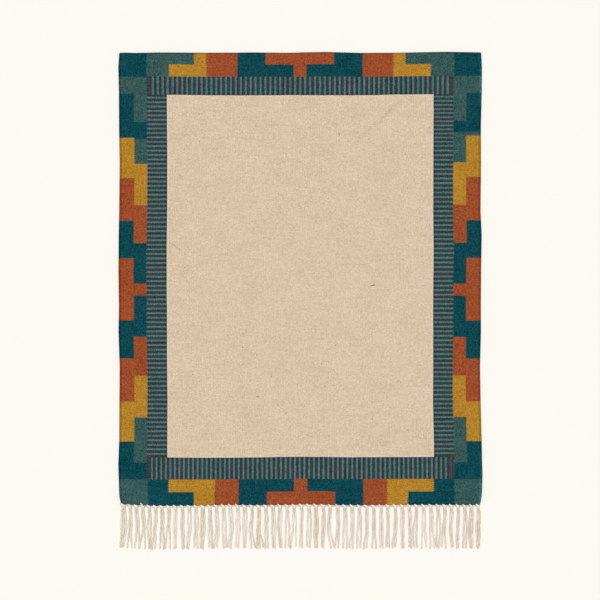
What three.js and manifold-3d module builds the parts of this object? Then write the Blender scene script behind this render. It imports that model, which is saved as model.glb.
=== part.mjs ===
// A flat-woven zanafi rug lying flat, in millimetres, with +Z up.
// The woven ground is one cloth with raised warp ribs and two thick selvedges.
// The fringe is one row of knotted warp ends along a short end.
// The origin is the middle of the cloth's underside, and +Y points away from the fringe.
import * as THREE from "three";
import { mergeVertices } from "three/addons/utils/BufferGeometryUtils.js";
import Module from "manifold-3d";

// Driving dimensions of the woven ground
const CLOTH_WIDTH = 1200;
const CLOTH_LENGTH = 1500;
const CLOTH_THICKNESS = 6;
const RIB_PITCH = 8;
const RIB_COUNT = 146;
const RIB_RELIEF = 0.8;
const RIB_LENGTHWISE_SPANS = 4;
const SELVEDGE_CREST_HEIGHT = 6.4;
const SELVEDGE_CREST_INSET = 5;
const SELVEDGE_EDGE_HEIGHT = 3;
const SELVEDGE_FOOT_INSET = 1.5;

// Driving dimensions of the fringe
const FRINGE_GAP = 0.3;
const STRIP_WIDTH = 12;
const STRIP_HEIGHT = 5.5;
const STRIP_OVERHANG = 7.5;
const KNOT_LENGTH = 15;
const KNOT_WIDTH = 9;
const KNOT_HEIGHT = 8.2;
const KNOT_CENTRE_HEIGHT = 4.6;
const KNOT_SLANT_DEG = -32;
const KNOT_SETBACK = 0.4;
const KNOT_SIDES = 8;
const KNOT_TIERS = 4;
const STRAND_LENGTH = 143;
const STRAND_LENGTH_SPREAD = 2.5;
const STRAND_LENGTH_STEP = 2.4;
const STRAND_WIDTH = 7;
const STRAND_TIP_WIDTH = 5.8;
const STRAND_HEIGHT = 4.8;
const STRAND_TIP_HEIGHT = 3.4;
const STRAND_TOP_SHARE = 0.55;
const STRAND_TAPER_START = 0.6;
const STRAND_PAIR_SPACING = 11.4;
const STRAND_SWAY = 2.4;
const STRAND_SWAY_ANGLE = 5;
const STRAND_SWAY_STEP = 0.3;
const STRAND_SPANS = 6;

// How far the long edges stand outside their straight lines, at places along the length
const SIDE_WOBBLE = [
  { along: -750, left: -7, right: -3.6 },
  { along: -732, left: -2.2, right: 0.1 },
  { along: -710, left: -0.3, right: 3 },
  { along: -652, left: 1.5, right: 4.7 },
  { along: -612, left: 2.5, right: 3.4 },
  { along: -533, left: -0.7, right: 1.6 },
  { along: -413, left: -1.3, right: -1.6 },
  { along: -294, left: -2.2, right: -3.7 },
  { along: -175, left: 1.8, right: -0.6 },
  { along: -95, left: 0.1, right: -1 },
  { along: 24, left: 2, right: -0.2 },
  { along: 143, left: 1.2, right: 1.9 },
  { along: 223, left: -0.6, right: -2 },
  { along: 382, left: -2.1, right: -0.4 },
  { along: 501, left: -0.1, right: -1 },
  { along: 621, left: 0.4, right: 2.2 },
  { along: 700, left: 2.6, right: 2.8 },
  { along: 750, left: -0.7, right: 0 },
];

// How far the two ends stand outside their straight lines, at places across the width
const END_WOBBLE = [
  { across: -610, plain: -2.4, fringed: -3.6 },
  { across: -590, plain: 0.1, fringed: -2.8 },
  { across: -550, plain: -1.4, fringed: 0.5 },
  { across: -471, plain: 0.3, fringed: 2.9 },
  { across: -312, plain: -0.6, fringed: 1.9 },
  { across: -232, plain: -0.5, fringed: -0.5 },
  { across: -153, plain: 0.3, fringed: 1.1 },
  { across: -34, plain: -1, fringed: -0.2 },
  { across: 6, plain: 0.4, fringed: -2 },
  { across: 86, plain: 2, fringed: -0.4 },
  { across: 205, plain: -1.4, fringed: 1.5 },
  { across: 325, plain: -0.6, fringed: 0 },
  { across: 484, plain: 2.4, fringed: -0.4 },
  { across: 563, plain: 1.1, fringed: 0.6 },
  { across: 610, plain: 0, fringed: -1.8 },
];

// The knots are tied a little closer together near the corners
const KNOT_COUNT = 52;
const KNOT_STATIONS = [
  { knot: 0, across: -588 },
  { knot: 6, across: -461 },
  { knot: 15, across: -257 },
  { knot: 25, across: -22 },
  { knot: 35, across: 218 },
  { knot: 45, across: 455 },
  { knot: 51, across: 588 },
];

// The strands draw together into bunches, evenly spaced from the first tip to the last
const BUNCHES = [
  { strands: 4, first: -597, last: -569 },
  { strands: 4, first: -557, last: -516 },
  { strands: 4, first: -507, last: -483 },
  { strands: 1, first: -467, last: -467 },
  { strands: 7, first: -448, last: -396 },
  { strands: 3, first: -379, last: -362 },
  { strands: 4, first: -335, last: -310 },
  { strands: 5, first: -296, last: -247 },
  { strands: 6, first: -231, last: -177 },
  { strands: 1, first: -155, last: -155 },
  { strands: 3, first: -140, last: -123 },
  { strands: 4, first: -104, last: -77 },
  { strands: 2, first: -63, last: -55 },
  { strands: 1, first: -40, last: -40 },
  { strands: 5, first: -24, last: 14 },
  { strands: 3, first: 28, last: 44 },
  { strands: 3, first: 59, last: 76 },
  { strands: 4, first: 86, last: 117 },
  { strands: 4, first: 137, last: 173 },
  { strands: 4, first: 195, last: 218 },
  { strands: 3, first: 238, last: 257 },
  { strands: 2, first: 267, last: 281 },
  { strands: 5, first: 295, last: 329 },
  { strands: 4, first: 349, last: 388 },
  { strands: 5, first: 406, last: 443 },
  { strands: 5, first: 458, last: 505 },
  { strands: 1, first: 524, last: 524 },
  { strands: 6, first: 543, last: 586 },
  { strands: 1, first: 597, last: 597 },
];

// Colours and finishes
const WOVEN_WOOL = { color: 0xd9c3a8, roughness: 0.95, metalness: 0 };
const FRINGE_YARN = { color: 0xefe6d8, roughness: 0.9, metalness: 0 };

// A column's value at a place between two rows of a table
function readTable(table, placeName, valueName, place) {
  const last = table.length - 1;
  let row = 0;
  while (row < last - 1 && table[row + 1][placeName] < place) {
    row += 1;
  }
  const before = table[row];
  const after = table[row + 1];
  const share = (place - before[placeName]) / (after[placeName] - before[placeName]);
  return THREE.MathUtils.lerp(before[valueName], after[valueName], THREE.MathUtils.clamp(share, 0, 1));
}

// The cloth's four edges
function leftEdge(y) {
  return -CLOTH_WIDTH / 2 - readTable(SIDE_WOBBLE, "along", "left", y);
}

function rightEdge(y) {
  return CLOTH_WIDTH / 2 + readTable(SIDE_WOBBLE, "along", "right", y);
}

function plainEnd(x) {
  return CLOTH_LENGTH / 2 + readTable(END_WOBBLE, "across", "plain", x);
}

function fringedEnd(x) {
  return -CLOTH_LENGTH / 2 - readTable(END_WOBBLE, "across", "fringed", x);
}

// Fills the band between two lines of points that run the same way, the first line on the left
function stitch(faces, left, right) {
  let i = 0;
  let j = 0;
  while (i < left.length - 1 || j < right.length - 1) {
    const leftStep = i < left.length - 1 ? left[i + 1].distanceTo(right[j]) : Infinity;
    const rightStep = j < right.length - 1 ? left[i].distanceTo(right[j + 1]) : Infinity;
    if (leftStep < rightStep) {
      faces.push([left[i], right[j], left[i + 1]]);
      i += 1;
    } else {
      faces.push([left[i], right[j], right[j + 1]]);
      j += 1;
    }
  }
}

// Fills a flat outline so that it faces down
function fillUnderside(faces, outline) {
  const flat = outline.map((point) => new THREE.Vector2(point.x, point.y));
  for (const [a, b, c] of THREE.ShapeUtils.triangulateShape(flat, [])) {
    const clockwise = THREE.ShapeUtils.area([flat[a], flat[b], flat[c]]) < 0;
    const corners = clockwise ? [a, b, c] : [a, c, b];
    faces.push(corners.map((corner) => outline[corner]));
  }
}

function geometryFromFaces(faces) {
  const geometry = new THREE.BufferGeometry().setFromPoints(faces.flat());
  const merged = mergeVertices(geometry);
  merged.computeVertexNormals();
  return merged;
}

// A line along a rib, from the fringed end to the plain end
function ribLine(x, height) {
  const points = [];
  for (let span = 0; span <= RIB_LENGTHWISE_SPANS; span += 1) {
    const y = THREE.MathUtils.lerp(fringedEnd(x), plainEnd(x), span / RIB_LENGTHWISE_SPANS);
    points.push(new THREE.Vector3(x, y, height));
  }
  return points;
}

// A line along a selvedge, which follows the long edge at an inset
function selvedgeLine(edge, inset, height) {
  const last = SIDE_WOBBLE.length - 1;
  return SIDE_WOBBLE.map((row, index) => {
    const x = edge(row.along) + inset;
    const atEnd = index === last ? plainEnd(x) : row.along;
    const y = index === 0 ? fringedEnd(x) : atEnd;
    return new THREE.Vector3(x, y, height);
  });
}

// The points of an end's lower edge that lie between the two corners
function endStations(end, cornerLeft, cornerRight) {
  const between = END_WOBBLE.filter((row) => row.across > cornerLeft.x && row.across < cornerRight.x);
  const points = between.map((row) => new THREE.Vector3(row.across, end(row.across), 0));
  return [cornerLeft, ...points, cornerRight];
}

// The woven ground: one closed cloth, with a flat underside and ribs raised on its face
function wovenGround() {
  const valley = CLOTH_THICKNESS - RIB_RELIEF;
  const firstRib = (-RIB_COUNT * RIB_PITCH) / 2;
  const lines = [
    selvedgeLine(leftEdge, SELVEDGE_FOOT_INSET, 0),
    selvedgeLine(leftEdge, 0, SELVEDGE_EDGE_HEIGHT),
    selvedgeLine(leftEdge, SELVEDGE_CREST_INSET, SELVEDGE_CREST_HEIGHT),
    ribLine(firstRib, valley),
  ];
  for (let rib = 0; rib < RIB_COUNT; rib += 1) {
    lines.push(ribLine(firstRib + (rib + 0.5) * RIB_PITCH, CLOTH_THICKNESS));
    lines.push(ribLine(firstRib + (rib + 1) * RIB_PITCH, valley));
  }
  lines.push(selvedgeLine(rightEdge, -SELVEDGE_CREST_INSET, SELVEDGE_CREST_HEIGHT));
  lines.push(selvedgeLine(rightEdge, 0, SELVEDGE_EDGE_HEIGHT));
  lines.push(selvedgeLine(rightEdge, -SELVEDGE_FOOT_INSET, 0));

  const faces = [];
  for (let index = 1; index < lines.length; index += 1) {
    stitch(faces, lines[index - 1], lines[index]);
  }
  const leftFoot = lines[0];
  const rightFoot = lines[lines.length - 1];
  const upperLines = lines.slice(1, -1);
  const fringedFoot = endStations(fringedEnd, leftFoot[0], rightFoot[0]);
  const plainFoot = endStations(plainEnd, leftFoot.at(-1), rightFoot.at(-1));
  stitch(faces, upperLines.map((line) => line[0]), fringedFoot);
  stitch(faces, plainFoot, upperLines.map((line) => line.at(-1)));
  fillUnderside(faces, [
    ...fringedFoot,
    ...rightFoot.slice(1, -1),
    ...plainFoot.slice().reverse(),
    ...leftFoot.slice(1, -1).reverse(),
  ]);
  return geometryFromFaces(faces);
}

// A closed solid through four-cornered rings, which turn right-handed about the way they run
function loft(rings) {
  const faces = [];
  for (let index = 1; index < rings.length; index += 1) {
    for (let corner = 0; corner < 4; corner += 1) {
      const next = (corner + 1) % 4;
      const [a, b] = [rings[index - 1][corner], rings[index - 1][next]];
      const [c, d] = [rings[index][corner], rings[index][next]];
      faces.push([a, b, d], [a, d, c]);
    }
  }
  const [a, b, c, d] = rings[0];
  faces.push([a, d, c], [a, c, b]);
  const [e, f, g, h] = rings.at(-1);
  faces.push([e, f, g], [e, g, h]);
  return geometryFromFaces(faces);
}

// The narrow strip along the cloth's end in which the knots and the strands' roots are fused
function rootStrip(firstKnot, lastKnot) {
  const from = firstKnot - STRIP_OVERHANG;
  const to = lastKnot + STRIP_OVERHANG;
  const between = END_WOBBLE.map((row) => row.across).filter((x) => x > from && x < to);
  const rings = [from, ...between, to].map((x) => {
    const front = fringedEnd(x) - FRINGE_GAP;
    const back = front - STRIP_WIDTH;
    return [
      new THREE.Vector3(x, back, 0),
      new THREE.Vector3(x, front, 0),
      new THREE.Vector3(x, front, STRIP_HEIGHT),
      new THREE.Vector3(x, back, STRIP_HEIGHT),
    ];
  });
  return loft(rings);
}

// One slanted oval knot, just behind the cloth's edge
function knot(x) {
  const slant = THREE.MathUtils.degToRad(KNOT_SLANT_DEG);
  const reach = Math.hypot(KNOT_LENGTH * Math.sin(slant), KNOT_WIDTH * Math.cos(slant)) / 2;
  const geometry = new THREE.SphereGeometry(0.5, KNOT_SIDES, KNOT_TIERS);
  geometry.rotateX(Math.PI / 2);
  geometry.scale(KNOT_LENGTH, KNOT_WIDTH, 2 * (KNOT_HEIGHT - KNOT_CENTRE_HEIGHT));
  geometry.rotateZ(slant);
  geometry.translate(x, fringedEnd(x) - FRINGE_GAP - KNOT_SETBACK - reach, KNOT_CENTRE_HEIGHT);
  return geometry;
}

// One strand, level on its flat underside, from its root in the strip to its cut tip
function strand(index, root, tip) {
  const start = fringedEnd(root) - FRINGE_GAP - STRIP_WIDTH / 2;
  const length = STRAND_LENGTH + STRAND_LENGTH_SPREAD * Math.sin(index * STRAND_LENGTH_STEP);
  const end = fringedEnd(root) - length;
  const rings = [];
  for (let span = 0; span <= STRAND_SPANS; span += 1) {
    const along = span / STRAND_SPANS;
    const sway = Math.sin(STRAND_SWAY_ANGLE * along + STRAND_SWAY_STEP * index);
    const bend = STRAND_SWAY * 4 * along * (1 - along) * sway;
    const x = THREE.MathUtils.lerp(root, tip, THREE.MathUtils.smoothstep(along, 0, 1)) + bend;
    const y = THREE.MathUtils.lerp(start, end, along);
    const taper = THREE.MathUtils.smoothstep(along, STRAND_TAPER_START, 1);
    const half = THREE.MathUtils.lerp(STRAND_WIDTH, STRAND_TIP_WIDTH, taper) / 2;
    const height = THREE.MathUtils.lerp(STRAND_HEIGHT, STRAND_TIP_HEIGHT, taper);
    rings.push([
      new THREE.Vector3(x - half, y, 0),
      new THREE.Vector3(x + half, y, 0),
      new THREE.Vector3(x + half * STRAND_TOP_SHARE, y, height),
      new THREE.Vector3(x - half * STRAND_TOP_SHARE, y, height),
    ]);
  }
  return loft(rings);
}

// Where each strand's tip lies across the width
function tipPlaces() {
  const places = [];
  for (const { strands, first, last } of BUNCHES) {
    for (let index = 0; index < strands; index += 1) {
      places.push(THREE.MathUtils.lerp(first, last, index / Math.max(strands - 1, 1)));
    }
  }
  return places;
}

function toManifold(wasm, source) {
  const bare = source.clone();
  bare.deleteAttribute("normal");
  bare.deleteAttribute("uv");
  const merged = mergeVertices(bare);
  const vertProperties = new Float32Array(merged.attributes.position.array);
  const triVerts = new Uint32Array(merged.index.array);
  return new wasm.Manifold(new wasm.Mesh({ numProp: 3, vertProperties, triVerts }));
}

function fromManifold(solid) {
  const mesh = solid.getMesh();
  const geometry = new THREE.BufferGeometry();
  geometry.setAttribute("position", new THREE.BufferAttribute(new Float32Array(mesh.vertProperties), 3));
  geometry.setIndex(new THREE.BufferAttribute(new Uint32Array(mesh.triVerts), 1));
  geometry.computeVertexNormals();
  return geometry;
}

// The fringe: strip, knots and strands fused into one solid
async function fringe() {
  const wasm = await Module();
  wasm.setup();
  const knots = [];
  for (let index = 0; index < KNOT_COUNT; index += 1) {
    knots.push(readTable(KNOT_STATIONS, "knot", "across", index));
  }
  const tips = tipPlaces();
  const outermost = knots.at(-1) + STRIP_OVERHANG - STRAND_WIDTH / 2;
  let solid = toManifold(wasm, rootStrip(knots[0], knots.at(-1)));
  knots.forEach((across, index) => {
    solid = solid.add(toManifold(wasm, knot(across)));
    for (const side of [0, 1]) {
      const number = 2 * index + side;
      const place = across + (side - 0.5) * STRAND_PAIR_SPACING;
      const root = THREE.MathUtils.clamp(place, -outermost, outermost);
      solid = solid.add(toManifold(wasm, strand(number, root, tips[number])));
    }
  });
  return fromManifold(solid);
}

function namedMesh(name, geometry, finish) {
  const mesh = new THREE.Mesh(geometry, new THREE.MeshStandardMaterial(finish));
  mesh.name = name;
  return mesh;
}

const rug = new THREE.Group();
rug.add(namedMesh("woven_ground", wovenGround(), WOVEN_WOOL));
rug.add(namedMesh("fringe", await fringe(), FRINGE_YARN));

export default rug;
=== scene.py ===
"""The looks of a flat-woven zanafi rug with a knotted fringe, lying flat and seen from above.

Sizes are in millimetres until they reach a mesh or a shader, which are in metres.
+X runs across the rug, +Y runs along it from the fringed end to the plain end, and +Z is up.
"""

import math

import bpy
import numpy as np
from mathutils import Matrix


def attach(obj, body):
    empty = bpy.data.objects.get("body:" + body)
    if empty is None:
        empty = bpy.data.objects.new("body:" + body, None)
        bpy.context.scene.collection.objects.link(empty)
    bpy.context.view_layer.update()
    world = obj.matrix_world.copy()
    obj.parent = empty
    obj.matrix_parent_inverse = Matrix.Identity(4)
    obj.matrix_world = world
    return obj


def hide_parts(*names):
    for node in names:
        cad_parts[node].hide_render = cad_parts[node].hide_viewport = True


MM = 0.001
SEED = 7
UP = (0, 0, 1)
WHITE = (1, 1, 1, 1)

# The woven cloth. The weft passes over one warp rib and under the next.
CLOTH_WIDTH = 1200
CLOTH_LENGTH = 1500
CLOTH_THICKNESS = 6
RIB_PITCH = 8
RIB_COUNT = 146
RIB_RELIEF = 0.8
RIB_SHAPE = 0.8
RIB_STEPS = 4
ROW_PITCH = 10.4
WEFT_PITCH = 3.7
RIB_HEIGHT_JITTER = 0.12
RIB_WANDER = 0.35
SELVEDGE_EDGE_HEIGHT = 3
SELVEDGE_CREST_HEIGHT = 6.4
UNDERSIDE_ROWS = 6
EDGE_FUZZ = 0.6
FRONT_FUZZ = 1.1

# A selvedge's section from its foot to the first rib, as inset from the edge and height
SELVEDGE_SECTION = (
    (1.5, 0),
    (0.3, 1.3),
    (0, SELVEDGE_EDGE_HEIGHT),
    (0.9, 4.8),
    (2.6, 6),
    (5, SELVEDGE_CREST_HEIGHT),
    (7.6, 6.1),
    (9.3, 5.3),
    (11, 5.7),
    (13, 5.9),
    (15, 5.6),
)

# The section of either end, as inset from the edge and share of the height
END_SECTION = ((1.2, 0), (0.2, 0.25), (0, 0.5), (0.8, 0.8), (2.4, 0.95), (5, 1))
FOOT_SPREAD = 0.35

# The plain field, and how far its four sides stray from straight lines
FIELD_HALF_WIDTH = 442
FIELD_TOP = 610
FIELD_BOTTOM = -591
FIELD_SIDE_PLACES = (-557, -398, -279, -80, 79, 238, 397, 596)
FIELD_LEFT_STRAY = (1.6, 2.3, 0.9, 0.3, -0.5, 1.3, 1.6, 0.3)
FIELD_RIGHT_STRAY = (1.9, -1.4, -0.8, -1.1, 0.6, -0.6, -0.2, 0.4)
FIELD_END_PLACES = (-428, -309, -189, -30, 169, 248, 328, 407)
FIELD_TOP_STRAY = (0.6, -0.7, -1.4, -0.7, -1, -0.7, 1.8, 2.3)
FIELD_BOTTOM_STRAY = (-0.7, -1.7, -1.1, 1.9, 0.3, 0.6, 0.9, 0.9)

# The border, as runs of one yarn and the places where they end, read from left to right or from
# the bottom up. T is teal, G slate, M mustard and R rust. Each side has an outer and an inner row.
BORDER_CHART = {
    "top outer": "T -509 G -352 M -312 R -208 T -115 R 112 T 207 R 309 M 349 G 510 T",
    "top inner": "T -510 G -435 M -311 R -209 T -22 R 20 T 207 R 309 M 433 G 510 T",
    "bottom outer": "G -506 T -354 M -285 R -206 T -112 R 114 T 208 R 287 M 356 T 510 G",
    "bottom inner": "G -506 T -438 M -284 R -206 T -22 R 22 T 208 R 287 M 441 T 509 G",
    "left outer": "G -663 T -538 M -406 R -263 T -137 R 69 T 193 R 334 M 468 T 614 G 670 T",
    "left inner": "G -663 T -608 G -458 M -320 R -191 T -55 R -15 T 119 R 244 M 381 G 464 T 520 G 670 T",
    "right outer": "G -663 T -538 M -407 R -265 T -139 R 69 T 193 R 337 M 473 G 487 T 616 G 671 T",
    "right inner": "G -664 T -608 G -459 M -321 R -193 T -57 R -17 T 119 R 244 M 385 G 484 T 522 G 671 T",
}
BORDER_TOP = 671
BORDER_BOTTOM = -663
BAND_HALF_WIDTH = 508

# Where the outer rows of the border begin, and the teeth and the waver of the joins
TOP_STEP = 711
BOTTOM_STEP = -704
SIDE_STEP = 550.6
TOOTH_PITCH = 6.3
TOOTH_DEPTH = 2.6
JOIN_WAVER = 0.9

# The striped band between the border and the field
END_STRIPES_FROM = -494
TOP_STRIPES_TO = 494
BOTTOM_STRIPES_TO = 489.5
SIDE_STRIPES_TO = -584
SMOKE_LINE_PLACE = 497.5
SMOKE_LINE_HALF_WIDTH = 1.8
PALE_SHARE = 0.42
STRIPE_SCALLOP = 1.1
SIDE_STRIPE_PITCH = 14.9
STRIPE_TINTS = ((0.84, 1.01, 0.99), (1.18, 0.96, 1.07))

# The stripes are not quite even. Each band's stations are a pale stripe's number and its place.
STRIPE_STATIONS = {
    "top": ((-4, -520), (14, -230), (28, 0), (42, 229), (60, 520.5)),
    "bottom": ((-4, -522), (16, -221), (30, -3), (45, 234), (64, 527)),
    "left": ((-2, 615), (20, 294), (39, 8), (58, -279), (79, -594)),
    "right": ((-3, 615.5), (10, 439.5), (38, 7), (57, -280), (79, -608)),
}

# The yarns: colour as seen, and how much one bead of the weave differs from the next in red,
# green and blue
YARNS = {
    "T": ((14, 71, 80), (1.2, 0.3, 0.3)),
    "G": ((57, 90, 88), (0.4, 0.28, 0.3)),
    "M": ((181, 131, 43), (0.16, 0.2, 0.5)),
    "R": ((157, 78, 44), (0.18, 0.28, 0.45)),
    "natural": ((221, 199, 172), (0.09, 0.11, 0.145)),
    "pale": ((90, 117, 114), (0.22, 0.2, 0.22)),
    "dark": ((50, 65, 66), (0.25, 0.25, 0.25)),
    "plum": ((64, 64, 68), (0.25, 0.25, 0.25)),
    "smoke": ((80, 84, 88), (0.25, 0.25, 0.25)),
}
YARN_NUMBERS = {name: number for number, name in enumerate(YARNS)}

# Painted shade and painted highlight near the cloth's edges, as inset and tone: rims darker where they
# curve down, a lighter line just inside, brighter near the right corners
SELVEDGE_SHADE_AND_HIGHLIGHT = ((0, 0.6), (3.5, 0.7), (5.5, 0.72), (8, 0.8), (11.5, 1.1), (15, 0.97), (18, 1))
CORNER_SHADE_AND_HIGHLIGHT = ((0, 0.9), (3.5, 1.3), (5.5, 1.45), (8, 1.35), (11.5, 0.86), (15, 1), (18, 1))
CORNER_REACH = (555, 600)
# Painted shade where the two ends curve down, as inset and tone
END_SHADE_TONES = ((0, 0.5), (2.5, 0.66), (5, 0.96), (6, 1))

# The weft packs up pale inside the field's edge and dark outside it, as distance and tint
FIELD_EDGE_TINTS = (
    (-7, (1, 1, 1)),
    (-4, (1, 1.04, 1.08)),
    (-1.5, (0.98, 1.09, 1.18)),
    (-0.3, (0.97, 1.1, 1.22)),
    (0.5, (0.8, 0.66, 0.6)),
    (3, (0.84, 0.72, 0.68)),
    (6, (1, 1, 1)),
)

# How much painted shade darkens the valleys between the ribs
VALLEY_SHADE = 0.01
STRIPE_VALLEY_SHADE = 0.3
VALLEY_SHARPNESS = 3.0

# The unevenness and the relief of the weave: scales to a metre, and strengths
WAVER_SCALE = 14.0
FIELD_WAVER_SHARE = 0.4
STRIPE_JITTER_STRETCH = 2.5
STRIPE_JITTER_SCALE = 90.0
STRIPE_JITTER = 0.13
BEAD_TONE = 0.7
SHORT_STREAK_SCALE = 165.0
SHORT_STREAK_TONE = 2.9
LONG_STREAK_SCALE = 9.0
LONG_STREAK_TONE = 1.2
LUMP_SCALE = 310.0
LUMP_TONE = 3.7
RIB_TONE_SCALE = 30.0
RIB_TONE = 0.5
CLOUD_SCALE = 9.0
CLOUD_TONE = 0.6
WARMTH_SCALE = 30.0
WARMTH_STRENGTH = 0.8
WARMTH_TINTS = ((0.98, 1, 1.025, 1), (1.02, 0.995, 0.97, 1))
BEAD_FLATNESS = 0.6
WOOL_FIBRE_SCALES = (250.0, 1600.0)
WOOL_FIBRE_HEIGHT = 0.16
WOOL_BUMP = 0.45
WOOL_ROUGHNESS = 0.95

# The stain across the field's upper right, and the few dark flecks, with scales to a metre
STAIN_START = (321, 579)
STAIN_END = (165, 434)
STAIN_HALF_WIDTH = 10
STAIN_TINT = (0.85, 0.78, 0.68)
STAIN_STRENGTHS = (1.15, 0.45)
STAIN_FADE = (10, -15)
STAIN_BEND = 6
STAIN_BEND_SCALE = 12.0
STAIN_PATCH_SCALE = 60.0
STAIN_PATCH_RANGE = (-0.6, 0.4)
FLECK_TINT = (0.62, 0.55, 0.5)
FLECK_CELLS_PER_METRE = 42.0
FLECK_LIMIT = 0.955
FLECK_RADIUS_IN_CELLS = 0.08

# Each hair or bit of dark yarn on the field: its radius, and its path
HAIRS = (
    (0.38, ((-434, 121), (-426, 115), (-418, 112), (-410, 104), (-402, 100), (-398, 94))),
    (0.38, ((-403, 349), (-399, 345), (-396, 339))),
    (0.95, ((233.7, -23.5), (241.7, -21.9), (248, -20.9))),
    (0.7, ((-145.5, -390.3), (-141, -390.8), (-136.6, -390.9))),
    (0.6, ((129.4, 482.5), (129.2, 478), (129, 473.5))),
)

# The loose end of yarn at the lower left, and how fine and how dark the hairs are
LOOSE_END_PATH = ((-529.7, -742.6), (-527.5, -744.5), (-525, -747), (-522, -750))
LOOSE_END_RADIUS = 1.8
LOOSE_END_TAPER = 0.6
LOOSE_END_TONE = 1.2
HAIR_RINGS = 24
LOOSE_END_RINGS = 14
HAIR_COLOURS = ((58, 46, 34), (92, 74, 52))
HAIR_TONE_SCALE = 150.0
HAIR_FIBRE_SCALE = 2500.0
HAIR_BUMP = 0.05
HAIR_ROUGHNESS = 0.8

# The fringe: 52 knots, which have two strands each, or three for a few of them
FRINGE_GAP = 0.3
STRIP_WIDTH = 12
KNOT_COUNT = 52
KNOT_STATIONS = ((0, -588), (6, -461), (15, -257), (25, -22), (35, 218), (45, 455), (51, 588))
KNOT_SLANT = math.radians(-26)
KNOT_SETBACK = 2.9
KNOT_SHIFT = 1.2
KNOT_LEAN = 0.15
KNOT_CENTRE_HEIGHT = 4.4
KNOT_TURN_REACH = 6.2
KNOT_TURN_RISE = 2.9
KNOT_TURN_RADIUS = 1.6
KNOT_TURN_SPACING = 2.2
KNOT_SLANT_SPREAD = 0.12
KNOT_SIZE_SPREAD = (0.94, 1.06)
KNOT_TURN_RINGS = 28
KNOT_TURN_SIDES = 8
KNOT_BLUSH_SPREAD = (0.2, 0.9)
KNOT_CORE_LENGTH = 5.4
KNOT_CORE_RADIUS = 3
KNOT_CORE_RINGS = 9
KNOT_CORE_SIDES = 10
KNOT_CORE_SHADE = 0.6

# The warp ends that feed a knot. Each of a feeder's three places is a share of its offset, how far
# it lies towards the cloth and a rise, from the cloth's edge or, at its finish, from the knot.
FEEDER_OFFSETS = (-9.5, -4.5, 4.5, 9.5)
FEEDER_START = (1, 1.5, 0)
FEEDER_MIDDLE = (0.72, -2, 0.3)
FEEDER_FINISH = (0.15, -0.5, 0)
FEEDER_RADIUS = 1.2
FEEDER_HEIGHT = 3.4
FEEDER_RINGS = 6
FEEDER_SHADE = 0.4
# A little warm painted shade on the buried core and feeders
BURIED_WARM_SHADE = 0.1

# The yarns that link one knot to the next
LINK_SETBACK = 5
LINK_RADIUS = 1.25
LINK_SAG = 0.8
LINK_RINGS = 12
LINK_TONE = 1.14
LINK_SHADE = 0.1
LINK_SIDES = 6

# A strand: three yarns twisted into a bundle, which opens at its tip
STRAND_LENGTH = 143
STRAND_LENGTH_SPREAD = 2.5
STRAND_LENGTH_STEP = 2.4
STRAND_WIGGLE = 0.55
STRAND_WAVES = (13, 31)
STRAND_SMOOTHING = 30
STRAND_RINGS = 66
STRAND_LIFT = 1.3
ROOT_REACH = 4
YARNS_PER_STRAND = 3
YARN_RADIUS = 1.35
YARN_SIDES = 8
YARN_TIP_SHARE = 0.75
BUNDLE_WIDTH = 6.7
BUNDLE_WIDTH_SPREAD = (0.86, 1.08)
BUNDLE_HALF_HEIGHT = 0.7
BUNDLE_WIDEST = 9
TWIST_LENGTH = 46
TWIST_SPREAD = (0.8, 1.2)
CLOSE_GAP = 5.2
OPEN_GAP = 8
NO_NEIGHBOUR = 100.0
CROWD_NARROWING = 0.25
CROWD_PLACES = (0.15, 0.55, 0.95)
TIP_SPREAD_START = 0.8
TIP_FLATTENING = 0.7
TIP_REACH = 1.2
TIP_STRAY = (-2.5, 1.5)
WARM_SHADE_SPREAD = (0.55, 1)
BLUSH_SPREAD = 0.4
PIECES_OF_STRANDS = 3

# The loose fibres beside the strands
FIBRES_PER_STRAND = 4
FIBRE_RADIUS = 0.2
FIBRE_RINGS = 16
FIBRE_BOW = (0.2, 1.4)
FIBRE_TUCK = 0.4
FIBRE_LIFT = 1.5
FIBRE_SHADE = 0.3

# How the strands hang, at their places below the knot, half way down and at the tip: how far their
# middle lies to the right of the knot, and how far apart they are, each with its usual spread
THREE_STRAND_KNOTS = (0, 12, 20, 28, 50, 51)
STRAND_MIDDLES = (4, 2.5, 2)
STRAND_MIDDLE_SPREADS = (0.8, 2, 3.4)
STRAND_GAPS = (7.4, 8, 8.4)
STRAND_GAP_SPREADS = (1.1, 2.8, 4.2)
LEAST_STRAND_GAP = 5
THREE_STRAND_SHARE = 0.75

# A pixel of the photograph in millimetres, and the rows of the cloth's middle and of those three
# places, in pixels from the photograph's top
PIXEL = 3.315
PHOTO_MIDDLE_ROW = 278.8
BELOW_KNOT_ROW = 514
HALF_WAY_ROW = 530
TIP_ROW = 546

# Fringe colours as seen: the greyer and the pinker yarn, warm painted shade where yarn bunches, painted
# shade in the crevices; then tone spread and painted shade strengths
YARN_GREY = (237, 233, 218)
YARN_PINK = (248, 231, 218)
YARN_WARM_SHADE = (241, 221, 190)
YARN_PAINTED_SHADE = (142, 114, 84)
YARN_TONE_SPREAD = (0.94, 1.14)
STRAND_SHADE = 0.28
EDGE_SHADE = 0.28
LONE_EDGE_SHARE = 0.2
ROOT_SHADE = 0.3
ROOT_SHADE_LENGTH = 26
TIP_SHADE = 0.1
TIP_SHADE_LENGTH = 4
KNOT_SHADE = 0.55

# The knot's turns, from the lowest: place, size, tone and how deep in painted shade it is
KNOT_TURNS = (
    (-4, 0.66, 1.1, 0.2),
    (-3, 0.78, 1.12, 0.16),
    (-2, 0.86, 1.08, 0.18),
    (-1, 0.9, 1.12, 0.16),
    (0, 0.96, 1.18, 0.06),
    (1, 1, 1.3, 0),
)
KNOT_TONE_SPREAD = (0.88, 1.05)

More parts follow.
